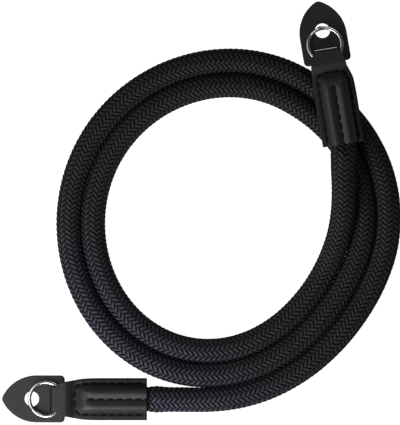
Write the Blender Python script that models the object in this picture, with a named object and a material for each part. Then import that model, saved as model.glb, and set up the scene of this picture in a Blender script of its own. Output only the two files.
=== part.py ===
"""A coiled camera strap: a braided rope with a leather end tab, a leather guard and a split ring at each end.

Metres, +Z up, as it lies on a flat surface. The origin is on that surface, under the middle of
the box round the strap's two ends.
"""

import math

import bmesh
import bpy
from mathutils import Matrix, Vector

# Rope
ROPE_DIAMETER = 0.0100
TOUCH_GAP = 0.0003  # between pieces that touch
SIDES_RESOLUTION = 4  # twelve sides
PRESSED_HEIGHT = 0.0076  # of the rope's end inside the leather, at its two lobes
PRESSED_WIDTH = 0.0094
VALLEY_SHARE = 0.25  # how far the middle row of stitches pulls the lobes' height down
FLARE_LENGTH = 0.0085  # over which the rope turns from round to pressed, outside the leather

# The coil, seen from above. Angles run clockwise from +X.
COIL_CENTRE = (0.0153, -0.0018)
COIL_RADIUS = 0.0552  # mean radius of the first turn's middle line
COIL_OVAL = 0.0030  # how much longer the coil is towards its upper right and lower left
COIL_OVAL_AT = math.radians(-60)
COIL_LOBE = 0.0008  # a slight three-cornered shape
COIL_LOBE_AT = math.radians(-28)
TURN_PITCH = ROPE_DIAMETER + 1.2 * TOUCH_GAP
CROSSOVER_AT = math.radians(300)  # where each turn starts to step out to the next
CROSSOVER_SPAN = math.radians(80)
STEPS_PER_TURN = 28
COIL_START = math.radians(36)
COIL_STEPS = 60

# Leather end tab: a pocket on the rope's end, a neck, and a tongue through the guard's slit
LEATHER = 0.0013
POCKET_LENGTH = 0.0265
POCKET_WIDTH = 0.0180
ROPE_IN_POCKET = 0.0256
NECK_LENGTH = 0.0127
TONGUE_WIDTH = 0.0103
TURN_DOWN_RADIUS = 0.0012  # of the strip's middle, where it turns down into the slit
TURN_STEPS = 3

# Guard: a flat plate with a pointed front
GUARD_THICKNESS = 0.0016
GUARD_LENGTH = 0.0270
GUARD_WIDTH = 0.0202
GUARD_SIDE_RADIUS = 0.0165  # of the curved sides of its front
GUARD_TIP_RADIUS = 0.0026
GUARD_CORNER_RADIUS = 0.0018
GUARD_REAR_BAR = 0.00405  # from its rear edge to the slit
GUARD_SLIT = 0.00245
GUARD_HOLE = 0.0064  # diameter
GUARD_HOLE_AT = 0.01015  # from the slit's rear edge to the hole's middle

# Split ring: two turns of flat wire
RING_OUTER = 0.0158  # diameter
RING_WIRE_WIDTH = 0.0014
RING_WIRE_HEIGHT = 0.00087
RING_TURN_GAP = 0.00006
RING_FORWARD = 0.00365  # from the slit's rear edge to the ring's middle
RING_STEPS_PER_TURN = 32
RING_RAMP = math.radians(34)  # the stretch over which the wire steps from one turn to the other

# Each end of the strap: where its leather starts, which way it points and how it lies
ENDS = {
    "lower_left": {
        "mouth": (-0.0152, -0.0801),
        "heading": math.radians(180),
        "lies_on": 0.0,
        "droop": math.radians(5.5),
        "lean": 0.0,
        "split_at": math.radians(215),
    },
    "upper_right": {
        "mouth": (0.0687, 0.0289),
        "heading": math.radians(99.6),
        "lies_on": ROPE_DIAMETER + TOUCH_GAP,
        "droop": math.radians(8),
        "lean": 0.0008,
        "split_at": math.radians(12),
    },
}

# The rope's way where it isn't coiled, as points of its middle line
UPPER_STRETCH = (
    (0.0684, 0.0200, 0.0149),
    (0.0688, 0.0105, 0.0134),
    (0.0686, 0.0015, 0.0114),
    (0.0674, -0.0075, 0.0091),
    (0.0648, -0.0165, 0.0069),
    (0.0611, -0.0250, 0.0054),
)
LOWER_STRETCH = (
    (0.0110, -0.0803, 0.0050),
    (0.0020, -0.0803, 0.0050),
    (-0.0070, -0.0802, 0.0052),
)

# The pocket's section, from its middle to where the two layers meet: across is a share of the
# middle surface's half width over the rope, rise a share of the lobes' height
POCKET_SECTION = (
    (0.00, 0.81),
    (0.15, 0.85),
    (0.33, 0.95),
    (0.53, 1.00),
    (0.72, 0.93),
    (0.87, 0.73),
    (0.96, 0.47),
    (1.03, 0.27),
)
SEAM_START = 1.13  # in the same shares: from here out the two layers lie flat on each other

# Sections along the pocket: share of its length, share of its full width
POCKET_STATIONS = ((0.0, 1.0), (0.2, 1.0), (0.4, 1.0), (0.6, 1.0), (0.8, 1.0), (1.0, 0.98))

# Sections along the neck: share of its length, share of the pocket's width, how much of the
# pocket's lobes is left, and how far the layers part again to hold the guard and the ring
NECK_STATIONS = (
    (0.11, 0.965, 0.80, 0.00),
    (0.21, 0.945, 0.35, 0.00),
    (0.32, 0.915, 0.00, 0.03),
    (0.43, 0.885, 0.00, 0.25),
    (0.54, 0.850, 0.00, 0.75),
    (0.65, 0.825, 0.00, 1.00),
    (0.82, 0.780, 0.00, 1.00),
    (0.94, 0.700, 0.00, 1.00),
    (1.00, 0.590, 0.00, 1.00),
)

# Heights worked out from the sizes above, from the middle plane of the folded leather
LOBE_RISE = PRESSED_HEIGHT / 2 + TOUCH_GAP + LEATHER / 2
SEAM_RISE = (LEATHER + TOUCH_GAP) / 2
RING_HEIGHT = 2 * RING_WIRE_HEIGHT + RING_TURN_GAP
LOOP_RISE = (LEATHER + 3 * TOUCH_GAP + GUARD_THICKNESS + RING_HEIGHT) / 2
GUARD_BOTTOM = -LOOP_RISE + LEATHER / 2 + TOUCH_GAP
RING_BOTTOM = GUARD_BOTTOM + GUARD_THICKNESS + TOUCH_GAP
POCKET_HALF_THICKNESS = LOBE_RISE + LEATHER / 2
SLIT_REAR = POCKET_LENGTH + NECK_LENGTH + TURN_DOWN_RADIUS - LEATHER / 2 - TOUCH_GAP
BEND_LENGTH = NECK_STATIONS[2][0] * NECK_LENGTH  # where the neck bends down, from the pocket's end


def clear_scene():
    for obj in list(bpy.data.objects):
        bpy.data.objects.remove(obj, do_unlink=True)


def principled(name, colour, roughness, metallic=0.0):
    material = bpy.data.materials.new(name)
    material.use_nodes = True
    shader = material.node_tree.nodes["Principled BSDF"]
    shader.inputs["Base Color"].default_value = (*colour, 1.0)
    shader.inputs["Roughness"].default_value = roughness
    shader.inputs["Metallic"].default_value = metallic
    return material


def add_object(name, data, material, parent=None):
    obj = bpy.data.objects.new(name, data)
    obj.parent = parent
    data.materials.append(material)
    bpy.context.scene.collection.objects.link(obj)
    return obj


def add_empty(name, location, rotation, parent=None):
    empty = bpy.data.objects.new(name, None)
    empty.location = location
    empty.rotation_euler = rotation
    empty.parent = parent
    bpy.context.scene.collection.objects.link(empty)
    return empty


def hide_helper(obj):
    obj.hide_render = True
    obj.display_type = "WIRE"


def finished_mesh(name, bm):
    bmesh.ops.recalc_face_normals(bm, faces=bm.faces)
    mesh = bpy.data.meshes.new(name)
    bm.to_mesh(mesh)
    bm.free()
    return mesh


def ease(share):
    share = min(max(share, 0.0), 1.0)
    return share * share * (3 - 2 * share)


def mix(start, end, share):
    return start + (end - start) * share


def end_height(end):
    """The height of the folded leather's middle plane, and of the rope in it."""
    return end["lies_on"] + POCKET_HALF_THICKNESS


def in_pocket(end, along):
    """A point of the middle line of an end's pocket, this far in from its mouth."""
    ahead = Vector((math.cos(end["heading"]), math.sin(end["heading"]), 0))
    return Vector((*end["mouth"], end_height(end))) + ahead * along


def coil_point(turned):
    """A point of the coil's middle line, turned being the clockwise angle from +X."""
    turns, rest = divmod(turned - CROSSOVER_AT, 2 * math.pi)
    steps_out = turns + ease(rest / CROSSOVER_SPAN)
    radius = COIL_RADIUS + TURN_PITCH * steps_out
    radius += COIL_OVAL * math.cos(2 * (turned - COIL_OVAL_AT))
    radius += COIL_LOBE * math.cos(3 * (turned - COIL_LOBE_AT))
    x = COIL_CENTRE[0] + radius * math.cos(turned)
    y = COIL_CENTRE[1] - radius * math.sin(turned)
    return Vector((x, y, ROPE_DIAMETER / 2))


def rope_route():
    """The rope's middle line, from its end in the upper right leather to the one in the lower left."""
    upper, lower = ENDS["upper_right"], ENDS["lower_left"]
    step = 2 * math.pi / STEPS_PER_TURN
    coil = [coil_point(COIL_START + step * k) for k in range(COIL_STEPS + 1)]
    depths = [ROPE_IN_POCKET, ROPE_IN_POCKET / 2, 0.0]
    return [
        *(in_pocket(upper, depth) for depth in depths),
        *(Vector(point) for point in UPPER_STRETCH),
        *coil,
        *(Vector(point) for point in LOWER_STRETCH),
        *(in_pocket(lower, depth) for depth in reversed(depths)),
    ]


def press_section(across, up, amount):
    """Where a point of the rope's round section goes as the leather presses it into two lobes."""
    share = across / (ROPE_DIAMETER / 2)
    valley = VALLEY_SHARE * max(0.0, 1 - (share / 0.5) ** 2)
    flat_across = share * PRESSED_WIDTH / 2
    flat_up = up / (ROPE_DIAMETER / 2) * PRESSED_HEIGHT / 2 * (1 - valley)
    return mix(across, flat_across, amount), mix(up, flat_up, amount)


def make_rope(material):
    """A round tube along the route, with its two ends pressed flat where the leather holds them."""
    route = rope_route()
    curve = bpy.data.curves.new("rope_tube", "CURVE")
    curve.dimensions = "3D"
    curve.twist_mode = "Z_UP"
    curve.bevel_depth = ROPE_DIAMETER / 2
    curve.bevel_resolution = SIDES_RESOLUTION
    curve.use_fill_caps = True
    spline = curve.splines.new("POLY")
    spline.points.add(len(route) - 1)
    for point, place in zip(spline.points, route):
        point.co = (*place, 1.0)
    tube = bpy.data.objects.new("rope_tube", curve)
    bpy.context.scene.collection.objects.link(tube)
    graph = bpy.context.evaluated_depsgraph_get()
    mesh = bpy.data.meshes.new_from_object(tube.evaluated_get(graph))
    bpy.data.objects.remove(tube, do_unlink=True)

    walked = [0.0]
    for before, after in zip(route, route[1:]):
        walked.append(walked[-1] + (after - before).length)
    for vertex in mesh.vertices:
        nearest = min(range(len(route)), key=lambda k: (route[k] - vertex.co).length)
        from_end = min(walked[nearest], walked[-1] - walked[nearest])
        amount = 1 - ease((from_end - ROPE_IN_POCKET) / FLARE_LENGTH)
        if amount > 0:
            before, after = route[max(nearest - 1, 0)], route[min(nearest + 1, len(route) - 1)]
            along = (after - before).normalized()
            side = along.cross(Vector((0, 0, 1))).normalized()
            over = side.cross(along)
            offset = vertex.co - route[nearest]
            across, up = press_section(offset.dot(side), offset.dot(over), amount)
            vertex.co = route[nearest] + along * offset.dot(along) + side * across + over * up
    bm = bmesh.new()
    bm.from_mesh(mesh)
    bmesh.ops.remove_doubles(bm, verts=bm.verts, dist=TOUCH_GAP / 100)
    mesh = finished_mesh("rope", bm)
    mesh.shade_smooth()
    return add_object("rope", mesh, material)


def section_rises(lobes, opening):
    """Across and rise of a layer's middle surface, from the tab's middle to where its seam starts."""
    over_rope = PRESSED_WIDTH / 2 + TOUCH_GAP + LEATHER / 2
    flat = mix(SEAM_RISE, LOOP_RISE, opening)
    rows = [(share * over_rope, mix(flat, rise * LOBE_RISE, lobes)) for share, rise in POCKET_SECTION]
    return [*rows, (SEAM_START * over_rope, flat)], flat


def strip_row(along, half_width, lobes, opening, side):
    """One row of points across the strip, side being 1 for its upper layer and -1 for its lower."""
    rows, flat = section_rises(lobes, opening)
    narrowing = half_width / (POCKET_WIDTH / 2)
    half = [(across * narrowing, rise) for across, rise in rows] + [(half_width, flat)]
    left = [(along, across, side * rise) for across, rise in reversed(half)]
    right = [(along, -across, side * rise) for across, rise in half[1:]]
    return left + right


def turn_rows(columns):
    """Rows round the strip's fold: down into the guard's slit, and back under its rear bar."""
    start = POCKET_LENGTH + NECK_LENGTH
    under_radius = TOUCH_GAP + LEATHER / 2
    under_height = GUARD_BOTTOM
    places = []
    for k in range(1, TURN_STEPS + 1):
        angle = math.pi / 2 * k / TURN_STEPS
        down = TURN_DOWN_RADIUS * (1 - math.cos(angle))
        places.append((start + TURN_DOWN_RADIUS * math.sin(angle), LOOP_RISE - down))
    for k in range(2 * TURN_STEPS + 1):
        angle = math.pi / 2 * k / (2 * TURN_STEPS)
        forward = under_radius * math.cos(angle)
        places.append((SLIT_REAR + forward, under_height - under_radius * math.sin(angle)))
    half_shares = [1 - 2 * k / (columns - 1) for k in range(columns)]
    return [[(x, share * TONGUE_WIDTH / 2, z) for share in half_shares] for x, z in places]


def bend_place(along, across, up, droop, lean):
    """A point of the flat tab after its neck is bent down by droop and drawn aside by lean."""
    turned = droop * min(max((along - POCKET_LENGTH) / BEND_LENGTH, 0.0), 1.0)
    radius = BEND_LENGTH / droop
    x = min(along, POCKET_LENGTH) + radius * math.sin(turned) + up * math.sin(turned)
    z = -radius * (1 - math.cos(turned)) + up * math.cos(turned)
    past = max(along - POCKET_LENGTH - BEND_LENGTH, 0.0)
    aside = lean * ease((along - POCKET_LENGTH) / (NECK_LENGTH * NECK_STATIONS[5][0]))
    return Vector((x + past * math.cos(turned), across + aside, z - past * math.sin(turned)))


def make_tab(name, end, frame, material):
    """The folded leather strip, from the upper layer's edge at the mouth round to the lower one's."""
    stations = [(share * POCKET_LENGTH, width, 1.0, 0.0) for share, width in POCKET_STATIONS]
    stations += [
        (POCKET_LENGTH + share * NECK_LENGTH, width, lobes, opening)
        for share, width, lobes, opening in NECK_STATIONS
    ]
    upper = [strip_row(x, w * POCKET_WIDTH / 2, lobes, o, 1) for x, w, lobes, o in stations]
    lower = [strip_row(x, w * POCKET_WIDTH / 2, lobes, o, -1) for x, w, lobes, o in reversed(stations)]
    rows = upper + turn_rows(len(upper[0])) + lower
    bm = bmesh.new()
    grid = [[bm.verts.new(bend_place(*point, end["droop"], end["lean"])) for point in row] for row in rows]
    for row, following in zip(grid, grid[1:]):
        for k in range(len(row) - 1):
            bm.faces.new((row[k], following[k], following[k + 1], row[k + 1]))
    mesh = finished_mesh(name, bm)
    mesh.shade_smooth()
    tab = add_object(name, mesh, material, frame)
    leather = tab.modifiers.new("leather", "SOLIDIFY")
    leather.thickness = LEATHER
    leather.offset = 0.0
    leather.use_even_offset = True
    return tab


def arc(centre, radius, start, end, steps):
    """Points on an arc from the angle start to the angle end, in degrees."""
    angles = [math.radians(mix(start, end, k / steps)) for k in range(steps + 1)]
    return [(centre[0] + radius * math.cos(a), centre[1] + radius * math.sin(a)) for a in angles]


def guard_outline():
    """The guard's left half from its tip back, then its right half; X runs forward from its rear edge."""
    half = GUARD_WIDTH / 2
    inset = GUARD_SIDE_RADIUS - half
    reach = GUARD_SIDE_RADIUS - GUARD_TIP_RADIUS
    nose = math.sqrt(reach**2 - inset**2)
    tip_centre = GUARD_LENGTH - GUARD_TIP_RADIUS
    meets = math.degrees(math.atan2(inset, nose))
    corner = GUARD_CORNER_RADIUS
    left = arc((tip_centre, 0), GUARD_TIP_RADIUS, 0, meets, 3)
    left += arc((tip_centre - nose, -inset), GUARD_SIDE_RADIUS, meets, 90, 8)[1:]
    left += arc((corner, half - corner), corner, 90, 180, 3)
    right = [(x, -y) for x, y in reversed(left[1:])]
    return left + right


def cut(target, name, cutter_mesh, location):
    cutter = bpy.data.objects.new(name, cutter_mesh)
    cutter.parent = target
    cutter.location = location
    bpy.context.scene.collection.objects.link(cutter)
    hide_helper(cutter)
    boolean = target.modifiers.new(name, "BOOLEAN")
    boolean.operation = "DIFFERENCE"
    boolean.solver = "EXACT"
    boolean.object = cutter


def make_guard(name, frame, material):
    """The pointed plate, its rear edge at its origin's X, with its round hole and its slit."""
    bm = bmesh.new()
    face = bm.faces.new([bm.verts.new((x, y, 0)) for x, y in guard_outline()])
    wall = bmesh.ops.extrude_face_region(bm, geom=[face])["geom"]
    raised = [v for v in wall if isinstance(v, bmesh.types.BMVert)]
    bmesh.ops.translate(bm, verts=raised, vec=(0, 0, GUARD_THICKNESS))
    guard = add_object(name, finished_mesh(name, bm), material, frame)
    guard.location = (-GUARD_REAR_BAR, 0, GUARD_BOTTOM)

    through = 3 * GUARD_THICKNESS
    hole = bmesh.new()
    bmesh.ops.create_cone(
        hole,
        cap_ends=True,
        segments=24,
        radius1=GUARD_HOLE / 2,
        radius2=GUARD_HOLE / 2,
        depth=through,
    )
    hole_at = (GUARD_REAR_BAR + GUARD_HOLE_AT, 0, GUARD_THICKNESS / 2)
    cut(guard, f"{name}_hole", finished_mesh("hole", hole), hole_at)

    slit = bmesh.new()
    size = (GUARD_SLIT, TONGUE_WIDTH + 2 * TOUCH_GAP, through)
    bmesh.ops.create_cube(slit, size=1.0, matrix=Matrix.Diagonal((*size, 1.0)))
    slit_at = (GUARD_REAR_BAR + GUARD_SLIT / 2, 0, GUARD_THICKNESS / 2)
    cut(guard, f"{name}_slit", finished_mesh("slit", slit), slit_at)
    return guard


def wire_profile():
    """The flat wire's section, with its corners taken off."""
    curve = bpy.data.curves.new("ring_wire", "CURVE")
    curve.dimensions = "2D"
    half_width, half_height = RING_WIRE_WIDTH / 2, RING_WIRE_HEIGHT / 2
    corner = RING_WIRE_HEIGHT / 4
    quarter = [(half_width, half_height - corner), (half_width - corner, half_height)]
    mirrored = [(-x, y) for x, y in reversed(quarter)]
    upper = quarter + mirrored
    points = [(-x, -y) for x, y in reversed(upper)] + list(reversed(upper))
    spline = curve.splines.new("POLY")
    spline.points.add(len(points) - 1)
    spline.use_cyclic_u = True
    for point, place in zip(spline.points, points):
        point.co = (*place, 0, 1)
    profile = bpy.data.objects.new("ring_wire", curve)
    bpy.context.scene.collection.objects.link(profile)
    hide_helper(profile)
    return profile


def make_ring(name, split_at, frame, profile, material):
    """Two turns of flat wire, lower turn first; its origin is the ring's middle, on its axis."""
    curve = bpy.data.curves.new(name, "CURVE")
    curve.dimensions = "3D"
    curve.twist_mode = "Z_UP"
    curve.bevel_mode = "OBJECT"
    curve.bevel_object = profile
    curve.use_fill_caps = True
    radius = (RING_OUTER - RING_WIRE_WIDTH) / 2
    level = (RING_WIRE_HEIGHT + RING_TURN_GAP) / 2
    ramp = RING_RAMP / 2
    first, last = ramp, 4 * math.pi - ramp
    steps = round((last - first) / (2 * math.pi) * RING_STEPS_PER_TURN)
    spline = curve.splines.new("POLY")
    spline.points.add(steps)
    for k, point in enumerate(spline.points):
        angle = mix(first, last, k / steps)
        climbed = ease((angle - 2 * math.pi + ramp) / RING_RAMP)
        turned = angle + split_at
        place = (radius * math.cos(turned), radius * math.sin(turned), mix(-level, level, climbed))
        point.co = (*place, 1.0)
    ring = add_object(name, curve, material, frame)
    ring.location = (RING_FORWARD, 0, RING_BOTTOM + RING_HEIGHT / 2)
    return ring


def make_end(side, end, materials, profile):
    """The leather tab, guard and split ring at one end of the strap."""
    mouth = (*end["mouth"], end_height(end))
    frame = add_empty(f"end_{side}", mouth, (0, 0, end["heading"]))
    make_tab(f"end_tab_{side}", end, frame, materials["tab"])
    loop_at = bend_place(SLIT_REAR, 0, 0, end["droop"], end["lean"])
    loop = add_empty(f"loop_{side}", loop_at, (0, end["droop"], 0), frame)
    make_guard(f"guard_{side}", loop, materials["guard"])
    make_ring(f"split_ring_{side}", end["split_at"], loop, profile, materials["ring"])


def build():
    clear_scene()
    materials = {
        "rope": principled("braided_rope", (0.016, 0.018, 0.028), 0.75),
        "tab": principled("tab_leather", (0.030, 0.030, 0.031), 0.55),
        "guard": principled("guard_leather", (0.026, 0.026, 0.027), 0.6),
        "ring": principled("ring_steel", (0.78, 0.78, 0.78), 0.18, 1.0),
    }
    make_rope(materials["rope"])
    profile = wire_profile()
    for side, end in ENDS.items():
        make_end(side, end, materials, profile)


build()
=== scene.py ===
"""A camera strap of braided rope, lying coiled, with a leather end, a guard and a split ring at each end."""

import math

import bmesh
import bpy
import numpy as np
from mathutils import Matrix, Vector


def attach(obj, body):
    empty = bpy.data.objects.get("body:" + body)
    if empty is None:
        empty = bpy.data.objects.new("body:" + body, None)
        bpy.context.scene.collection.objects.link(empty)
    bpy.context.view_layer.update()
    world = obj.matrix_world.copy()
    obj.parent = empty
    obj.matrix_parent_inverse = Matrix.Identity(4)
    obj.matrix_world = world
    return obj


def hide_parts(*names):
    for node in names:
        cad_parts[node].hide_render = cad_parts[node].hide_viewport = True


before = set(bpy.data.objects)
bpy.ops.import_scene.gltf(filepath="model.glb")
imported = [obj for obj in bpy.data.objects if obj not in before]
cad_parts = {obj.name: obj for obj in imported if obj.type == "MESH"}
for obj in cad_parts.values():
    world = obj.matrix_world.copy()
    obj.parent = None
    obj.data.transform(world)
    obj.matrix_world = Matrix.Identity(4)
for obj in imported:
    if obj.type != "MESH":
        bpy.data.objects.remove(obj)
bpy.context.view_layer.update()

# The camera hangs far above the strap and looks straight down, so that its pieces hardly lean.
# The scale and the origin's place in the photograph's frame are in its pixels.
photo_width, photo_height = 400, 425
pixels_per_metre = 2340
origin_across, origin_down = 182.5, 212
lens_length = 400
sharp_height = 0.008

camera_data = bpy.data.cameras.new("camera")
camera_data.lens = lens_length
camera_data.clip_end = 20
camera = bpy.data.objects.new("camera", camera_data)
view_height = photo_height / pixels_per_metre
camera.location = (
    (photo_width / 2 - origin_across) / pixels_per_metre,
    (origin_down - photo_height / 2) / pixels_per_metre,
    sharp_height + view_height * lens_length / camera_data.sensor_width,
)
bpy.context.scene.collection.objects.link(camera)
bpy.context.scene.camera = camera


# The rope: a soft core inside a round braid of 24 fine black yarns, each passing over two and
# under two others. Its two ends are pressed flat inside the leather, which is sewn round them.
rope_diameter = 0.0100
touch_gap = 0.0003
pressed_height = 0.0076
pressed_width = 0.0094
valley_share, valley_reach = 0.25, 0.5
flare_length = 0.0055
bulge_reach = 0.0040
side_press = 0.050
rope_in_pocket = 0.0256
leather = 0.0013
pocket_half_thickness = pressed_height / 2 + touch_gap + leather

# For each end: its leather's mouth, the way it points and the height it lies at, how far its neck bends
# down and aside, where its ring's split is and how wide its guard's slit is. The bulge is how much wider
# the rope swells as it comes out, and how far outside the mouth.
strap_ends = {
    "lower_left": {
        "mouth": (-0.0152, -0.0801),
        "heading": math.radians(180),
        "lies_on": 0.0,
        "droop": math.radians(5.5),
        "lean": 0.0,
        "split_at": math.radians(215),
        "slit": 0.00190,
        "bulge": (0.13, 0.0020),
    },
    "upper_right": {
        "mouth": (0.0687, 0.0289),
        "heading": math.radians(99.6),
        "lies_on": rope_diameter + touch_gap,
        "droop": math.radians(8),
        "lean": 0.0008,
        "split_at": math.radians(35),
        "slit": 0.00223,
        "bulge": (0.14, 0.0012),
    },
}
upper, lower = strap_ends["upper_right"], strap_ends["lower_left"]
upper_stretch = (
    (0.0684, 0.0200, 0.0149),
    (0.0688, 0.0105, 0.0134),
    (0.0686, 0.0015, 0.0114),
    (0.0674, -0.0075, 0.0091),
    (0.0648, -0.0165, 0.0069),
    (0.0611, -0.0250, 0.0054),
)
lower_stretch = (
    (0.0110, -0.0803, 0.0050),
    (0.0020, -0.0803, 0.0050),
    (-0.0070, -0.0802, 0.0052),
)
coil_centre = (0.0153, -0.0018)
coil_radius = 0.0552
coil_oval, coil_oval_at = 0.0030, math.radians(-60)
coil_lobe, coil_lobe_at = 0.0008, math.radians(-28)
turn_pitch = rope_diameter + 1.2 * touch_gap
crossover_at, crossover_span = math.radians(300), math.radians(80)
coil_start, coil_steps, steps_per_turn = math.radians(36), 60, 28

route_spacing, path_spacing = 0.0005, 0.0040
core_radius = 0.0040
core_sides, core_spacing = 16, 0.0020

yarns_each_way = 12
braid_pitch = 0.0258
samples_per_crossing = 2
yarn_middle_radius = 0.00451
yarn_swing = 0.00027
yarn_flatness = 2.2
yarn_half_width = 0.00080
yarn_half_height = 0.00036
yarn_section_angles = np.radians((0, 45, 90, 135, 180, 270))
yarn_crown_at = 0.0012
braid_in_pocket = 0.0040
braid_drift = math.radians(14)
braid_drift_length = 0.37
yarn_unevenness, wander_knots = 0.05, 240
yarns_per_piece = 6


def ease(share):
    """0 below 0, 1 above 1, and a gentle start and stop between."""
    share = np.clip(share, 0.0, 1.0)
    return share * share * (3 - 2 * share)


def smooth_through(knots, values, at):
    """A smooth curve through the values at the knots, read at the places given."""
    knots, values, at = (np.asarray(given, float) for given in (knots, values, at))
    slopes = np.gradient(values, knots, axis=0)
    k = np.clip(np.searchsorted(knots, at) - 1, 0, len(knots) - 2)
    gap = knots[k + 1] - knots[k]
    t = (at - knots[k]) / gap
    if values.ndim > 1:
        t, gap = t[..., None], gap[..., None]
    from_start = (1 + 2 * t) * (1 - t) ** 2 * values[k] + t * (1 - t) ** 2 * gap * slopes[k]
    return from_start + t * t * (3 - 2 * t) * values[k + 1] + t * t * (t - 1) * gap * slopes[k + 1]


def unit(vectors):
    return vectors / np.linalg.norm(vectors, axis=-1, keepdims=True)


def in_pocket(end, along):
    """A point of the middle line of an end's pocket, this far in from its mouth."""
    x, y = end["mouth"]
    height = end["lies_on"] + pocket_half_thickness
    return (x + along * math.cos(end["heading"]), y + along * math.sin(end["heading"]), height)


def coil_point(turned):
    """A point of the coil's middle line, turned being the clockwise angle from +X."""
    turns, rest = divmod(turned - crossover_at, 2 * math.pi)
    steps_out = turns + ease(rest / crossover_span)
    radius = coil_radius + turn_pitch * steps_out
    radius += coil_oval * math.cos(2 * (turned - coil_oval_at))
    radius += coil_lobe * math.cos(3 * (turned - coil_lobe_at))
    x = coil_centre[0] + radius * math.cos(turned)
    y = coil_centre[1] - radius * math.sin(turned)
    return (x, y, rope_diameter / 2)


def lengths_along(points):
    """How far along their line each of the points is."""
    steps = np.linalg.norm(np.diff(points, axis=0), axis=1)
    return np.concatenate(([0.0], np.cumsum(steps)))


def pressed_amount(along):
    """How flat the rope is here: 1 inside the leather, 0 where it is round."""
    from_end = np.minimum(along, rope_length - along)
    return 1 - ease((from_end - rope_in_pocket) / flare_length)


def rope_place(along, left, up):
    """Where a point of the rope's section goes, left and up being measured in the round rope."""
    half = rope_diameter / 2
    share = left / half
    valley = valley_share * np.maximum(0.0, 1 - (share / valley_reach) ** 2)
    amount = pressed_amount(along)
    bulge = 0.0
    for end, from_start in ((upper, along), (lower, rope_length - along)):
        share_wider, outside = end["bulge"]
        bulge += share_wider * np.exp(-(((from_start - rope_in_pocket - outside) / bulge_reach) ** 2))
    press = side_press * (1 - amount)
    wide = 1 + amount * (pressed_width / rope_diameter - 1) + bulge + press
    high = 1 + amount * (pressed_height / rope_diameter * (1 - valley) - 1) - press / 2
    middle, left_way, up_way = (smooth_through(route_along, table, along) for table in route_tables)
    return middle + left_way * (left * wide)[..., None] + up_way * (up * high)[..., None]


def mesh_of_tubes(name, tubes):
    """One mesh of closed tubes, each given as rings of points; its UV runs in metres along and round."""
    vertices, faces, uvs = [], [], []
    start = 0
    for rings in tubes:
        count, sides = rings.shape[:2]
        index = start + np.arange(count * sides).reshape(count, sides)
        turned = np.roll(index, -1, axis=1)
        quads = np.stack((index[:-1], turned[:-1], turned[1:], index[1:]), axis=-1).reshape(-1, 4)
        along = lengths_along(rings.mean(axis=1))
        girth = np.linalg.norm(rings[count // 2] - np.roll(rings[count // 2], -1, axis=0), axis=1).sum()
        u0, v0 = np.meshgrid(along[:-1], np.arange(sides) * girth / sides, indexing="ij")
        u1, v1 = np.meshgrid(along[1:], (np.arange(sides) + 1) * girth / sides, indexing="ij")
        corners = np.stack((u0, v0, u0, v1, u1, v1, u1, v0), axis=-1).reshape(-1, 2)
        caps = [index[0, ::-1].tolist(), index[-1].tolist()]
        vertices.append(rings.reshape(-1, 3))
        faces += quads.tolist() + caps
        uvs += [corners, np.zeros((2 * sides, 2))]
        start += count * sides
    mesh = bpy.data.meshes.new(name)
    mesh.from_pydata(np.concatenate(vertices).tolist(), [], faces)
    mesh.uv_layers.new(name="along_and_round").data.foreach_set("uv", np.concatenate(uvs).ravel())
    mesh.shade_smooth()
    return mesh


def add_piece(name, mesh, finishes, body="strap"):
    """Puts a mesh into the scene as a piece with its finishes, riding on a body of the frame."""
    for finish in finishes:
        mesh.materials.append(finish)
    piece = bpy.data.objects.new(name, mesh)
    bpy.context.scene.collection.objects.link(piece)
    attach(piece, body)
    return piece


class Wire:
    """A socket in a finish's node tree. Arithmetic on it adds Math nodes."""

    def __init__(self, tree, socket=None):
        self.tree = tree
        self.socket = socket

    def node(self, kind, settings=(), inputs=(), output=0):
        """Adds a node, sets it up, then gives its sockets their values or links."""
        added = self.tree.nodes.new(kind)
        for name, value in dict(settings).items():
            setattr(added, name, value)
        for name, value in dict(inputs).items():
            if isinstance(value, Wire):
                self.tree.links.new(value.socket, added.inputs[name])
            else:
                added.inputs[name].default_value = value
        return Wire(self.tree, added.outputs[output])

    def maths(self, operation, *values):
        return self.node("ShaderNodeMath", {"operation": operation}, enumerate(values))

    def mix(self, first, second):
        """Mixes two colours, with this value as the share of the second."""
        colours = {0: self, 6: first, 7: second}
        return self.node("ShaderNodeMix", {"data_type": "RGBA"}, colours, output=2)

    def own_place(self):
        """The piece's own coordinates, in metres."""
        return self.node("ShaderNodeTexCoord", output=3)

    def along_and_round(self):
        """The metres along a tube and round it, from its UV map."""
        return self.node("ShaderNodeUVMap", {"uv_map": "along_and_round"})

    def part(self, number):
        """One of the three numbers of these coordinates: 0, 1 or 2."""
        return self.node("ShaderNodeSeparateXYZ", (), {0: self}, output=number)

    def rising(self, zero_at, one_at):
        """This value as a share that is 0 at one value and 1 at another, and stays between them."""
        return self.node("ShaderNodeMapRange", (), {0: self, 1: zero_at, 2: one_at})

    def stretched(self, along, across, through):
        """These coordinates with their three directions multiplied."""
        scale = {0: self, 1: (along, across, through)}
        return self.node("ShaderNodeVectorMath", {"operation": "MULTIPLY"}, scale)

    def clouds(self, size, detail=2.0):
        """Soft noise from 0 to 1 whose patches measure about this size in metres."""
        return self.node("ShaderNodeTexNoise", (), {"Vector": self, "Scale": 1 / size, "Detail": detail})

    def __add__(self, other):
        return self.maths("ADD", self, other)

    __radd__ = __add__

    def __sub__(self, other):
        return self.maths("SUBTRACT", self, other)

    def __rsub__(self, other):
        return self.maths("SUBTRACT", other, self)

    def __mul__(self, other):
        return self.maths("MULTIPLY", self, other)


def new_finish(name, constants):
    """A Principled material with the constants set; returns it, its shader and a start for its nodes."""
    material = bpy.data.materials.new(name)
    material.use_nodes = True
    shader = material.node_tree.nodes["Principled BSDF"]
    for socket, value in constants.items():
        shader.inputs[socket].default_value = value
    return material, shader, Wire(material.node_tree)


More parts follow.
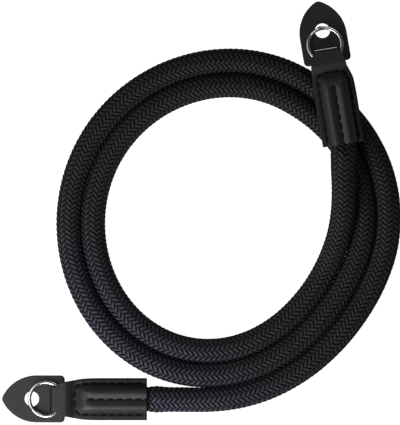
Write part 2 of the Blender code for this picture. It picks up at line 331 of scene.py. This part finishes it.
def connect(shader, start, colour, roughness, height, relief):
    """Links what varies over a surface: colour, roughness, and height as bump with its relief in metres."""
    bump = start.node("ShaderNodeBump", (), {"Height": height, "Distance": relief, "Strength": 1.0})
    for name, wire in {"Base Color": colour, "Roughness": roughness, "Normal": bump}.items():
        start.tree.links.new(wire.socket, shader.inputs[name])


def yarn_finish():
    """Fine black filament yarn, with painted highlight and shade: paler on the crowns of its floats,
    near-black at its sides and where it dives under, and a painted navy tint of bluish light towards the
    lower left.
    """
    filament_size, filament_relief, patch_size = 0.00016, 0.00006, 0.012
    # How far from the crown the painted highlight fades out and where it is full; where the painted navy tint
    # of bluish light starts and where it is full.
    crown_edge, crown_flat = 0.55, 0.05
    plain_until, navy_from = -0.015, -0.080
    # The near-black of the painted shade, and the colours of the painted highlight: plain, and with the navy
    # tint of bluish light.
    painted_shade_colour, plain = (0.0021, 0.0014, 0.0008, 1), (0.0320, 0.0330, 0.0360, 1)
    navy = (0.0680, 0.0755, 0.1220, 1)
    constants = {"Specular IOR Level": 0.28, "Sheen Weight": 0.02, "Sheen Roughness": 0.5}
    material, shader, start = new_finish("braided_yarn", constants)
    along_yarn, place = start.along_and_round(), start.own_place()
    filaments = along_yarn.stretched(0.12, 1.0, 1.0).clouds(filament_size)
    patches = place.clouds(patch_size)
    # Painted highlight and shade: near-black at the yarn's sides and paler at its crown, and darkened where
    # the yarn dives under the others, going by its raised share; filament and patch noise break it up.
    from_crown = start.maths("ABSOLUTE", along_yarn.part(1) * (1 / yarn_crown_at) - 1)
    raised = start.node("ShaderNodeAttribute", {"attribute_name": "raised"}, output=2)
    painted_crown_light = from_crown.rising(crown_edge, crown_flat) * (raised * 1.50 + 0.08)
    painted_light_share = painted_crown_light * (filaments * 0.8 + patches * 0.6)
    # Painted navy tint of bluish light, stronger towards the strap's lower left.
    bluish_light_share = place.part(0) * 0.75 + place.part(1) + patches * 0.02
    filament = bluish_light_share.rising(plain_until, navy_from).mix(plain, navy)
    connect(shader, start, painted_light_share.mix(painted_shade_colour, filament), 0.75 - filaments * 0.3, filaments, filament_relief)
    return material


def core_finish():
    """The dark core, which shows only as shade between the yarns."""
    material, shader, start = new_finish("rope_core", {"Specular IOR Level": 0.2})
    fibres = start.own_place().clouds(0.0004)
    colour = fibres.mix((0.003, 0.002, 0.001, 1), (0.009, 0.007, 0.005, 1))
    connect(shader, start, colour, 0.95 - fibres * 0.1, fibres, 0.00005)
    return material


depths = (rope_in_pocket, rope_in_pocket / 2, 0.0)
step = 2 * math.pi / steps_per_turn
route = np.array(
    [
        *(in_pocket(upper, depth) for depth in depths),
        *upper_stretch,
        *(coil_point(coil_start + step * k) for k in range(coil_steps + 1)),
        *lower_stretch,
        *(in_pocket(lower, depth) for depth in reversed(depths)),
    ]
)
chords = lengths_along(route)
close_points = smooth_through(chords, route, np.arange(0, chords[-1], route_spacing))
route_along = lengths_along(close_points)
rope_length = route_along[-1]
ways = unit(np.gradient(close_points, route_along, axis=0))
left_ways = unit(np.cross((0, 0, 1), ways))
route_tables = (close_points, left_ways, np.cross(ways, left_ways))

core_along = np.linspace(0, rope_length, round(rope_length / core_spacing))
core_angles = np.arange(core_sides) * 2 * math.pi / core_sides
core_rings = [
    rope_place(core_along, np.full_like(core_along, core_radius * math.cos(a)), core_radius * math.sin(a))
    for a in core_angles
]
rope_core = add_piece(
    "rope_core",
    mesh_of_tubes("rope_core", [np.stack(core_rings, axis=1)]),
    [core_finish()],
)

uneven = np.random.default_rng(24)
crossing_length = braid_pitch / (2 * yarns_each_way)
braid_start, braid_end = rope_in_pocket - braid_in_pocket, rope_length - rope_in_pocket + braid_in_pocket
yarn_samples = round((braid_end - braid_start) / crossing_length * samples_per_crossing)
yarn_along = np.linspace(braid_start, braid_end, yarn_samples)


def yarn(number, hand):
    """One yarn as rings of points, and how far each ring is up; hand is 1 for a right-hand screw."""
    crossing = yarn_along / crossing_length
    # one wave is four crossings long: over two yarns, then under two
    column = 2 * number + hand * crossing
    over = hand * np.cos((column - 0.5) * math.pi / 2)
    height = np.tanh(yarn_flatness * over) / math.tanh(yarn_flatness)
    knots = np.linspace(braid_start, braid_end, wander_knots)
    wander = uneven.uniform(-1, 1, (wander_knots, 2)) * yarn_unevenness
    wander = smooth_through(knots, wander, yarn_along)
    drift = braid_drift * np.sin(2 * math.pi * yarn_along / braid_drift_length)
    angle = 2 * math.pi * (hand * yarn_along / braid_pitch + number / yarns_each_way) + drift
    radius = yarn_middle_radius + yarn_swing * (height + wander[:, 0])
    left, up = radius * np.cos(angle), radius * np.sin(angle)
    middle = rope_place(yarn_along, left, up)
    outward = middle - smooth_through(route_along, close_points, yarn_along)
    way = unit(np.gradient(middle, axis=0))
    outward = unit(outward - way * (outward * way).sum(axis=1, keepdims=True))
    sideways = np.cross(outward, way)
    wide = yarn_half_width * (1 + wander[:, 1])[:, None, None] * np.cos(yarn_section_angles)[None, :, None]
    high = yarn_half_height * np.sin(yarn_section_angles)[None, :, None]
    rings = middle[:, None, :] + sideways[:, None, :] * wide + outward[:, None, :] * high
    return rings, np.clip(over, 0.0, 1.0)


yarn_material = yarn_finish()
for hand, lay in ((1, "right"), (-1, "left")):
    for first in range(0, yarns_each_way, yarns_per_piece):
        name = f"braid_{lay}_{first // yarns_per_piece + 1}"
        tubes, raised = zip(*(yarn(first + k, hand) for k in range(yarns_per_piece)))
        mesh = mesh_of_tubes(name, tubes)
        raised = np.repeat(np.concatenate(raised), len(yarn_section_angles))
        # The raised share goes into the yarn's finish, which paints shade where the yarn dives under the
        # others.
        mesh.attributes.new("raised", "FLOAT", "POINT").data.foreach_set("value", raised)
        add_piece(name, mesh, [yarn_material])

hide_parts("rope")


# The leather ends: at each, one strip of smooth black leather folded over the rope. It is sewn
# flat on both sides of the rope, and its narrow tongue goes over the ring and through the guard.
pocket_length = 0.0265
pocket_width = 0.0180
neck_length = 0.0127
tongue_width = 0.0107
turn_down_radius = 0.0012
guard_thickness = 0.0016
wire_height = 0.00087
wire_turn_gap = 0.00006
sewn_gap = 0.00004
edge_round = 0.00028
strip_columns = 61
row_step = 0.0003
top_fold_steps, straight_steps, under_fold_steps = 7, 5, 8
edge_angles = np.radians((30, 60, 90))

# share of the lobe's half width, share of the lobe's height
lobe_section = (
    (0.00, 0.79),
    (0.15, 0.85),
    (0.33, 0.95),
    (0.53, 1.00),
    (0.71, 0.91),
    (0.85, 0.72),
    (0.95, 0.49),
    (1.04, 0.29),
)
seam_knots = (1.15, 1.3, 2.0)
valley_end, valley_fade = 0.0232, 0.0036

# how much narrower the upper layer is cut on one side, and the share of the half width where that starts
upper_trim, trimmed_from = 0.00055, 0.84

# place past the pocket as a share of the neck, share of the pocket's width, how much of the lobes is
# left, and how far the two layers are parted to hold the guard and the ring
neck_stations = (
    (-0.15, 0.990, 0.96, 0.00),
    (0.00, 0.980, 0.83, 0.00),
    (0.11, 0.965, 0.58, 0.00),
    (0.21, 0.945, 0.30, 0.00),
    (0.32, 0.915, 0.07, 0.03),
    (0.43, 0.885, 0.00, 0.25),
    (0.54, 0.850, 0.00, 0.75),
    (0.65, 0.825, 0.00, 1.00),
    (0.82, 0.780, 0.00, 1.00),
    (0.94, 0.700, 0.00, 1.00),
    (1.00, 0.590, 0.00, 1.00),
)
lobe_rise = pressed_height / 2 + touch_gap + leather / 2
seam_rise = (leather + sewn_gap) / 2
ring_height = 2 * wire_height + wire_turn_gap
loop_rise = (leather + 3 * touch_gap + guard_thickness + ring_height) / 2
guard_bottom = -loop_rise + leather / 2 + touch_gap
slit_rear = pocket_length + neck_length + turn_down_radius - leather / 2 - touch_gap
bend_length = 0.32 * neck_length
aside_length = 0.65 * neck_length

stitch_pitch = 0.00405
stitch_length = 0.0026
first_stitch = 0.0036
side_row = 0.00665
side_stitches = 7
top_stitches = 4
middle_stitches = 6
mouth_overhang = 0.0002
seam_turn_at = 0.0308
seam_corner = 0.0034
groove_depth, groove_width = 0.00020, 0.00060
hole_depth, hole_width = 0.00025, 0.00040
thread_radius = 0.00041
thread_lift = 0.00008
thread_rings, thread_sides = 15, 12
thread_plies, thread_twist, ply_depth = 3, 9.0, 0.10
thread_squareness = 0.32


def stations_at(along):
    """Share of the full width, of the lobes and of the parting of the layers, at places along a tab."""
    table = np.array([(0.0, 1.0, 1.0, 0.0), (0.5 * pocket_length, 1.0, 1.0, 0.0)])
    neck = np.array(neck_stations)
    neck[:, 0] = pocket_length + neck[:, 0] * neck_length
    table = np.concatenate((table, neck))
    values = smooth_through(table[:, 0], table[:, 1:], along)
    return values[..., 0], np.clip(values[..., 1], 0, 1), np.clip(values[..., 2], 0, 1)


def seam_lines():
    """The stitches in a tab's own flat measures: pairs of ends (along, across)."""
    corner = seam_corner
    straight = seam_turn_at - corner
    quarter = math.pi / 2 * corner
    across_top = 2 * (side_row - corner)
    whole = 2 * straight + 2 * quarter + across_top

    def place(walked):
        """A point of the outer seam, walked from the mouth up one side, round and down the other."""
        side = 1 if walked < whole / 2 else -1
        walked = min(walked, whole - walked)
        if walked < straight:
            return (walked, side * side_row)
        turned = min((walked - straight) / corner, math.pi / 2)
        past = max(walked - straight - quarter, 0.0)
        across = side_row - corner + corner * math.cos(turned) - past
        return (straight + corner * math.sin(turned), side * across)

    outer_count = 2 * side_stitches + top_stitches
    outer_pitch = (whole - 2 * first_stitch) / (outer_count - 1)
    pairs = []
    for k in range(outer_count):
        middle = first_stitch + k * outer_pitch
        pairs.append((place(middle - stitch_length / 2), place(middle + stitch_length / 2)))
    for k in range(middle_stitches):
        middle = first_stitch + k * stitch_pitch
        pairs.append(((middle - stitch_length / 2, 0.0), (middle + stitch_length / 2, 0.0)))
    pairs.append(((-mouth_overhang, 0.0), (first_stitch - stitch_pitch + stitch_length / 2, 0.0)))
    return np.array(pairs)


stitches = seam_lines()


def sewn_dent(along, across):
    """How deep the thread pulls the leather in at a place."""
    dent = np.zeros_like(along)
    place = np.stack((along, across), axis=-1)
    for start, end in stitches:
        way = end - start
        share = np.clip(((place - start) @ way) / (way @ way), 0, 1)
        away = np.linalg.norm(place - start - share[..., None] * way, axis=-1)
        dent = np.maximum(dent, groove_depth * np.exp(-((away / groove_width) ** 2)))
        for hole in (start, end):
            away = np.linalg.norm(place - hole, axis=-1)
            dent = np.maximum(dent, hole_depth * np.exp(-((away / hole_width) ** 2)))
    return dent


def tab_place(end, along, share, side, sewn=True):
    """The leather's middle surface, in a tab's own axes; share is across, -1 to 1, and side the layer."""
    width, lobes, opening = stations_at(along)
    flat = seam_rise + (loop_rise - seam_rise) * opening
    over_rope = pressed_width / 2 + touch_gap + leather / 2
    lobe_share = np.abs(share) * pocket_width / 2 / over_rope
    knots = [row[0] for row in lobe_section] + list(seam_knots)
    rises = [row[1] * lobe_rise for row in lobe_section] + [seam_rise] * len(seam_knots)
    lobe = smooth_through(knots, rises, lobe_share)
    # towards the neck the valley between the lobes fills up to their height
    crown_share = max(lobe_section, key=lambda row: row[1])[0]
    filled = smooth_through(knots, rises, np.maximum(lobe_share, crown_share))
    lobe = lobe + (filled - lobe) * ease((along - valley_end) / valley_fade)
    rise = flat + (lobe - flat) * lobes
    across = share * width * pocket_width / 2
    if side > 0:
        trimmed = ease((-share - trimmed_from) / (1 - trimmed_from))
        across = across + upper_trim * trimmed * (1 - opening)
    if sewn:
        rise = rise - sewn_dent(along, across)
    return bent(end, along, across, side * rise)


def bent(end, along, across, rise):
    """A point of the flat tab after its neck is bent down and drawn a little aside."""
    droop, lean = end["droop"], end["lean"]
    turned = droop * np.clip((along - pocket_length) / bend_length, 0.0, 1.0)
    radius = bend_length / droop
    past = np.maximum(along - pocket_length - bend_length, 0.0)
    x = np.minimum(along, pocket_length) + (radius + rise) * np.sin(turned) + past * np.cos(turned)
    z = (radius + rise) * np.cos(turned) - radius - past * np.sin(turned)
    aside = lean * ease((along - pocket_length) / aside_length)
    return np.stack((x, across + aside, z), axis=-1)


def in_strap(end, places):
    """Points in a tab's own axes, moved to where that end of the strap lies."""
    turn = end["heading"]
    x = end["mouth"][0] + places[..., 0] * math.cos(turn) - places[..., 1] * math.sin(turn)
    y = end["mouth"][1] + places[..., 0] * math.sin(turn) + places[..., 1] * math.cos(turn)
    return np.stack((x, y, places[..., 2] + end["lies_on"] + pocket_half_thickness), axis=-1)


def tab_rows(end):
    """Rows across the strip's middle surface: upper layer, down through the slit, and lower layer."""
    shares = np.linspace(1, -1, strip_columns)
    reach = pocket_length + neck_length
    rows = []
    for side in (1, -1):
        alongs = np.linspace(edge_round, reach, round(reach / row_step))
        grid_along, grid_share = np.meshgrid(alongs, shares, indexing="ij")
        rows.append(tab_place(end, grid_along, grid_share, side))
    upper_rows, lower_rows = rows[0], rows[1][::-1]

    down_angles = np.linspace(0, math.pi / 2, top_fold_steps + 1)[1:]
    top_x = reach + turn_down_radius * np.sin(down_angles)
    top_z = loop_rise - turn_down_radius * (1 - np.cos(down_angles))
    under_radius = touch_gap + leather / 2
    under_angles = np.linspace(0, math.pi / 2, under_fold_steps + 1)
    under_x = slit_rear + under_radius * np.cos(under_angles)
    under_z = guard_bottom - under_radius * np.sin(under_angles)
    straight_z = np.linspace(top_z[-1], under_z[0], straight_steps + 1)[1:-1]
    xs = np.concatenate((top_x, np.full_like(straight_z, top_x[-1]), under_x))
    zs = np.concatenate((top_z, straight_z, under_z))
    grid_x, grid_share = np.meshgrid(xs, shares, indexing="ij")
    grid_z = np.repeat(zs[:, None], strip_columns, axis=1)
    fold = bent(end, grid_x, grid_share * tongue_width / 2, grid_z)
    return np.concatenate((upper_rows, fold, lower_rows))


def strip_mesh(name, rows):
    """A closed strip of leather round its middle surface, with rounded edges; edges take finish 1."""
    along_way = unit(np.gradient(rows, axis=0))
    across_way = unit(np.gradient(rows, axis=1))
    outward = unit(np.cross(across_way, along_way))
    half = leather / 2
    narrowed = edge_round * np.linspace(1, -1, strip_columns)[:, None]

    def ring(k, thinner, further):
        """The loop of points round row k; thinner and further shape the strip's two ends."""
        middle, out = rows[k] + along_way[k] * further, outward[k]
        left, right = -across_way[k, 0], across_way[k, -1]
        flat_top = half - thinner - edge_round
        corner = [(edge_round * math.sin(a), flat_top + edge_round * math.cos(a)) for a in edge_angles]
        corner += [(aside, -lift) for aside, lift in reversed(corner)]
        right_edge = [middle[-1] + right * (aside - edge_round) + out[-1] * lift for aside, lift in corner]
        left_edge = [middle[0] + left * (aside - edge_round) - out[0] * lift for aside, lift in corner]
        lifted = out * (half - thinner)
        face = middle - left * narrowed
        return np.concatenate((face + lifted, right_edge, (face - lifted)[::-1], left_edge))

    last = len(rows) - 1
    rounding = [(edge_round * (1 - math.sin(a)), edge_round * math.cos(a)) for a in (0.0, *edge_angles[:-1])]
    rings = [ring(0, thin, -far) for thin, far in rounding]
    rings += [ring(k, 0.0, 0.0) for k in range(len(rows))]
    rings += [ring(last, thin, far) for thin, far in reversed(rounding)]
    rings = np.array(rings)[:, ::-1]
    mesh = mesh_of_tubes(name, [rings])
    sides = rings.shape[1]
    edge_count = 2 * len(edge_angles)
    is_edge = np.ones(sides, int)
    for first in (edge_count, 2 * edge_count + strip_columns):
        is_edge[first : first + strip_columns - 1] = 0
    indices = np.concatenate((np.tile(is_edge, len(rings) - 1), [1, 1]))
    for polygon, index in zip(mesh.polygons, indices.tolist()):
        polygon.material_index = index
    return mesh


def leather_finish(name, light, dark, roughness):
    """Smooth black leather: fine pores and creases, darker and duller in patches."""
    cells_per_metre, bends_per_metre, bend_reach = 2700.0, 900.0, 0.0006
    patch_size, pore_size, grain_relief = 0.007, 0.00025, 0.000018
    material, shader, start = new_finish(name, {"Specular IOR Level": 0.55})
    place = start.own_place()
    wander = start.node("ShaderNodeTexNoise", (), {"Vector": place, "Scale": bends_per_metre}, output=1)
    shift = {0: wander, 1: (bend_reach,) * 3, 2: place}
    warped = start.node("ShaderNodeVectorMath", {"operation": "MULTIPLY_ADD"}, shift)
    cells = {"Vector": warped, "Scale": cells_per_metre}
    creases = start.node("ShaderNodeTexVoronoi", {"feature": "DISTANCE_TO_EDGE"}, cells)
    creases = creases.maths("SMOOTH_MIN", creases * 3.0, 0.6, 0.3)
    patches, pores = place.clouds(patch_size, 4.0), place.clouds(pore_size, 3.0)
    colour = (patches * 0.7 + pores * 0.3).mix(dark, light)
    dulled = roughness + patches * 0.16 - creases * 0.12
    connect(shader, start, colour, dulled, creases + pores * 0.4, grain_relief)
    return material


def edge_finish():
    """The leather's cut edge, dyed and rubbed smooth, with the layers of its fibres showing a little."""
    material, shader, start = new_finish("leather_edge", {"Specular IOR Level": 0.35})
    fibres = start.own_place().stretched(1.0, 1.0, 3.0).clouds(0.0003, 3.0)
    colour = fibres.mix((0.009, 0.009, 0.010, 1), (0.024, 0.023, 0.023, 1))
    connect(shader, start, colour, 0.5 + fibres * 0.3, fibres, 0.00008)
    return material


def thread_finish():
    """Waxed black sewing thread."""
    material, shader, start = new_finish("sewing_thread", {"Specular IOR Level": 0.15})
    fluff = start.own_place().clouds(0.00012, 3.0)
    colour = fluff.mix((0.001, 0.001, 0.001, 1), (0.008, 0.008, 0.009, 1))
    connect(shader, start, colour, 0.7 + fluff * 0.2, fluff, 0.00003)
    return material


def stitch_tube(end, pair, side):
    """One stitch: twisted thread that comes up out of its hole, lies in its groove and goes down again."""
    walked = np.linspace(0, 1, thread_rings)
    flat = pair[0] + (pair[1] - pair[0]) * walked[:, None]

    def surface(places):
        width = stations_at(places[:, 0])[0]
        return tab_place(end, places[:, 0], places[:, 1] / (width * pocket_width / 2), side, sewn=False)

    nudge = 0.00015
    here = surface(flat)
    ahead = surface(flat + (nudge, 0.0)) - surface(flat - (nudge, 0.0))
    aside = surface(flat + (0.0, nudge)) - surface(flat - (0.0, nudge))
    out = unit(np.cross(ahead, aside)) * side
    bow = np.sin(walked * math.pi) ** thread_squareness
    sunk = (thread_lift + thread_radius) * (1 - bow)
    middle = here + out * (leather / 2 + thread_lift - sunk)[:, None]
    way = unit(np.gradient(middle, axis=0))
    out = unit(out - way * (out * way).sum(axis=1, keepdims=True))
    sideways = np.cross(out, way)
    angles = np.arange(thread_sides) * 2 * math.pi / thread_sides
    ply = np.cos(thread_plies * (angles[None, :] - thread_twist * walked[:, None]))
    radius = thread_radius * (1 + ply_depth * ply)
    around = sideways[:, None, :] * np.cos(angles)[None, :, None]
    around += out[:, None, :] * np.sin(angles)[None, :, None]
    return middle[:, None, :] + around * radius[..., None]


tab_leather = leather_finish("tab_leather", (0.020, 0.020, 0.021, 1), (0.008, 0.008, 0.009, 1), 0.46)
edge_paint = edge_finish()
thread = thread_finish()
for side_name, end in strap_ends.items():
    rows = in_strap(end, tab_rows(end))
    name = f"end_leather_{side_name}"
    tab = add_piece(name, strip_mesh(name, rows), [tab_leather, edge_paint])
    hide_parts(f"end_tab_{side_name}")
    tubes = [in_strap(end, stitch_tube(end, pair, side)) for pair in stitches for side in (1, -1)]
    name = f"stitches_{side_name}"
    add_piece(name, mesh_of_tubes(name, tubes), [thread])


# The guards: a pointed plate of the same leather at each end, which keeps the ring off the
# camera. Each is cut out with its round hole and its slit, and its edges are rubbed round.
guard_length = 0.0270
guard_width = 0.0202
guard_side_radius = 0.0165
guard_tip_radius = 0.0026
guard_corner_radius = 0.0018
guard_rear_bar = 0.00405
slit_side_hold = 0.0001
guard_hole = 0.0064
guard_hole_at = 0.01015
guard_edge_round = 0.00040
guard_hole_steps, guard_side_steps, guard_corner_steps, slit_corner_steps = 56, 30, 8, 4
bevel_rings, merge_distance = 3, 0.000004
upright_from = 0.8


def arc(centre, radius, start, end, steps):
    """Points on an arc from the angle start to the angle end, in degrees."""
    angles = np.radians(np.linspace(start, end, steps + 1))
    return [(centre[0] + radius * math.cos(a), centre[1] + radius * math.sin(a)) for a in angles]


def guard_outline():
    """The guard's edge from its tip back on the left, and forward on the right; X is from the slit's rear."""
    half = guard_width / 2
    inset = guard_side_radius - half
    nose = math.sqrt((guard_side_radius - guard_tip_radius) ** 2 - inset**2)
    tip_centre = guard_length - guard_rear_bar - guard_tip_radius
    meets = math.degrees(math.atan2(inset, nose))
    corner = guard_corner_radius
    left = arc((tip_centre, 0), guard_tip_radius, 0, meets, guard_corner_steps)
    left += arc((tip_centre - nose, -inset), guard_side_radius, meets, 90, guard_side_steps)[1:]
    left += arc((corner - guard_rear_bar, half - corner), corner, 90, 180, guard_corner_steps)
    return left + [(x, -y) for x, y in reversed(left[1:])]


def slit_outline(guard_slit):
    """The edge of the slit that the tongue goes through, this wide, with round corners."""
    half = tongue_width / 2 - slit_side_hold
    corner = guard_slit / 4
    front = guard_slit - corner
    points = arc((front, half - corner), corner, 0, 90, slit_corner_steps)
    points += arc((corner, half - corner), corner, 90, 180, slit_corner_steps)
    return points + [(x, -y) for x, y in reversed(points)]


def plate_mesh(name, outlines, thickness, edge_radius):
    """A flat plate with the outlines as its edge and its holes, and every edge rounded."""
    curve = bpy.data.curves.new(name, "CURVE")
    curve.dimensions = "2D"
    curve.fill_mode = "BOTH"
    curve.extrude = thickness / 2 - edge_radius
    curve.bevel_depth = edge_radius
    curve.bevel_resolution = bevel_rings
    curve.offset = -edge_radius
    for outline in outlines:
        spline = curve.splines.new("POLY")
        spline.points.add(len(outline) - 1)
        spline.use_cyclic_u = True
        for point, place in zip(spline.points, outline):
            point.co = (*place, 0.0, 1.0)
    cut_out = bpy.data.objects.new(name, curve)
    bpy.context.scene.collection.objects.link(cut_out)
    graph = bpy.context.evaluated_depsgraph_get()
    mesh = bpy.data.meshes.new_from_object(cut_out.evaluated_get(graph))
    bpy.data.objects.remove(cut_out, do_unlink=True)
    bm = bmesh.new()
    bm.from_mesh(mesh)
    bmesh.ops.remove_doubles(bm, verts=bm.verts, dist=merge_distance)
    bmesh.ops.recalc_face_normals(bm, faces=bm.faces)
    bm.to_mesh(mesh)
    bm.free()
    mesh.shade_smooth()
    return mesh


def on_ring_seat(end, points):
    """Points measured from the slit's rear edge in the bent end's axes, moved to where they lie."""
    return in_strap(end, bent(end, slit_rear + points[..., 0], points[..., 1], points[..., 2]))


guard_leather = leather_finish("guard_leather", (0.0195, 0.0195, 0.0205, 1), (0.010, 0.010, 0.011, 1), 0.44)
hole_outline = arc((guard_hole_at, 0), guard_hole / 2, 0, 360, guard_hole_steps)[:-1]
for side_name, end in strap_ends.items():
    name = f"guard_plate_{side_name}"
    outlines = [guard_outline(), hole_outline, slit_outline(end["slit"])]
    mesh = plate_mesh(name, outlines, guard_thickness, guard_edge_round)
    flat = np.array([vertex.co for vertex in mesh.vertices])
    flat[:, 2] += guard_bottom + guard_thickness / 2
    mesh.vertices.foreach_set("co", on_ring_seat(end, flat).ravel())
    mesh.materials.clear()
    mesh.update()
    for polygon in mesh.polygons:
        polygon.material_index = 0 if abs(polygon.normal.z) > upright_from else 1
    plate = add_piece(name, mesh, [guard_leather, edge_paint])
    even = plate.modifiers.new("even_shading", "WEIGHTED_NORMAL")
    even.keep_sharp = False
    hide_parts(f"guard_{side_name}")


# The split rings: two turns of spring wire rolled round, nickel-plated and polished. The ends
# of the wire are ground thin, and the upper turn's end stands a little outward.
ring_outer = 0.0158
wire_width = 0.0014
ring_forward = 0.00365
ring_steps_per_turn = 120
ring_ramp = math.radians(34)
wire_sides = 20
end_reach, end_flare = math.radians(38), 0.00042
tip_reach, tip_height, tip_width = math.radians(11), 0.42, 0.62


def split_ring(end):
    """The wire as rings of points, from the lower turn's end round twice to the upper turn's end."""
    middle_radius = (ring_outer - wire_width) / 2
    level = (wire_height + wire_turn_gap) / 2
    first, last = ring_ramp / 2, 4 * math.pi - ring_ramp / 2
    steps = round((last - first) / (2 * math.pi) * ring_steps_per_turn)
    angle = np.linspace(first, last, steps + 1)
    climbed = ease((angle - 2 * math.pi + ring_ramp / 2) / ring_ramp)
    radius = middle_radius + end_flare * ease(1 - (last - angle) / end_reach)
    height = guard_bottom + guard_thickness + touch_gap + ring_height / 2 + level * (2 * climbed - 1)
    from_tip = np.minimum(angle - first, last - angle)
    ground = ease(from_tip / tip_reach)
    high = wire_height / 2 * (tip_height + (1 - tip_height) * ground)
    wide = wire_width / 2 * (tip_width + (1 - tip_width) * ground)
    section = np.arange(wire_sides) * 2 * math.pi / wire_sides
    reach = radius[:, None] - wide[:, None] * np.cos(section)[None, :]
    turned = (angle + end["split_at"])[:, None]
    points = np.stack(
        (
            ring_forward + reach * np.cos(turned),
            reach * np.sin(turned),
            height[:, None] + high[:, None] * np.sin(section)[None, :],
        ),
        axis=-1,
    )
    return on_ring_seat(end, points)


def nickel_finish():
    """Polished nickel plate with faint drawing marks along the wire and duller spots."""
    material, shader, start = new_finish("nickel_plate", {"Metallic": 1.0})
    marks = start.along_and_round().stretched(0.05, 1.0, 1.0).clouds(0.00009)
    spots = start.own_place().clouds(0.0016, 3.0)
    colour = spots.mix((0.72, 0.71, 0.69, 1), (0.86, 0.85, 0.83, 1))
    connect(shader, start, colour, 0.10 + spots * 0.12 + marks * 0.06, marks, 0.000008)
    return material


nickel = nickel_finish()
for side_name, end in strap_ends.items():
    name = f"key_ring_{side_name}"
    mesh = mesh_of_tubes(name, [split_ring(end)])
    ring = add_piece(name, mesh, [nickel], f"ring_{side_name}")
    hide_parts(f"split_ring_{side_name}")


# A plain white table, a pale room and five soft lights, the strongest from the picture's lower left.
# The camera sees the table pure white, as on a picture cut out on white, but it throws less light back.
table_half = 3.0
table_below = 0.0003
table_shown = 1.0
table_colour = (0.45, 0.45, 0.45, 1)
room_strength = 0.06

floor_data = bpy.data.meshes.new("table_top")
corners = [(-table_half, -table_half, 0), (table_half, -table_half, 0)]
corners += [(table_half, table_half, 0), (-table_half, table_half, 0)]
floor_data.from_pydata(corners, [], [(0, 1, 2, 3)])
floor = bpy.data.objects.new("table_top", floor_data)
floor.location.z = -table_below
bpy.context.scene.collection.objects.link(floor)
constants = {"Base Color": table_colour, "Roughness": 0.9, "Emission Strength": table_shown}
white, shader, start = new_finish("white_table", constants)
seen = start.node("ShaderNodeLightPath").mix((0, 0, 0, 1), (1, 1, 1, 1))
start.tree.links.new(seen.socket, shader.inputs["Emission Color"])
floor_data.materials.append(white)

world = bpy.data.worlds.new("studio")
world.use_nodes = True
world.node_tree.nodes["Background"].inputs["Color"].default_value = (1, 1, 1, 1)
world.node_tree.nodes["Background"].inputs["Strength"].default_value = room_strength
bpy.context.scene.world = world
bpy.context.scene.view_settings.view_transform = "Standard"


def add_light(name, place, size, power):
    """A soft round lamp at a place in metres, turned to the strap."""
    data = bpy.data.lights.new(name, "AREA")
    data.shape, data.size, data.energy = "DISK", size, power
    light = bpy.data.objects.new(name, data)
    light.location = place
    light.rotation_mode = "QUATERNION"
    light.rotation_quaternion = Vector(place).to_track_quat("Z", "Y")
    bpy.context.scene.collection.objects.link(light)


add_light("main_light", (-0.19, -0.35, 0.24), 0.32, 1.80)
add_light("high_light", (-0.36, -0.10, 0.52), 0.24, 0.54)
add_light("side_light", (-0.52, 0.12, 0.30), 0.50, 0.52)
add_light("back_light", (0.15, 0.60, 0.52), 0.34, 0.40)
add_light("fill_light", (0.55, -0.25, 0.24), 0.40, 0.26)
